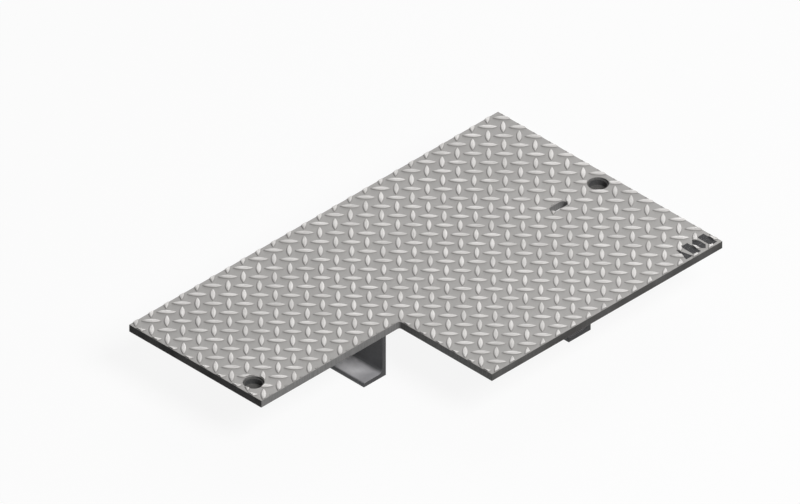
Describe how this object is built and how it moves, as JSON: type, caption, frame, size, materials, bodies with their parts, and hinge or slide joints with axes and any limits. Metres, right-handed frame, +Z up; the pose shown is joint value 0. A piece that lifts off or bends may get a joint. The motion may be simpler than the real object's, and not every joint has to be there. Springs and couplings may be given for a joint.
{
  "type": "cable pit cover",
  "caption": "L-shaped steel tread plate cover with raised lugs, plugged lifting holes, a key slot and angle ribs welded underneath.",
  "frame": {"origin": "below the middle of the plate's outline rectangle, level with the undersides of the ribs' feet", "axes": "+X along the cover towards the end with the key slot, +Y across the cover away from the notch, +Z up through the tread"},
  "size_m": [0.6, 0.365, 0.0675],
  "materials": {
    "tread_plate": "dull galvanised tread plate, lugs rubbed lighter",
    "plug_plastic": "moulded dark grey polyethylene, dull with dust",
    "rib_steel": "dull galvanised rolled angle",
    "weld_metal": "rippled weld bead, galvanised over"
  },
  "bodies": {
    "root": {"cover_plate": "tread_plate", "left_hole_plug": "plug_plastic", "right_hole_plug": "plug_plastic", "rib_left": "rib_steel", "rib_right": "rib_steel", "rib_left_welds": "weld_metal", "rib_right_welds": "weld_metal"}
  },
  "joints": []
}
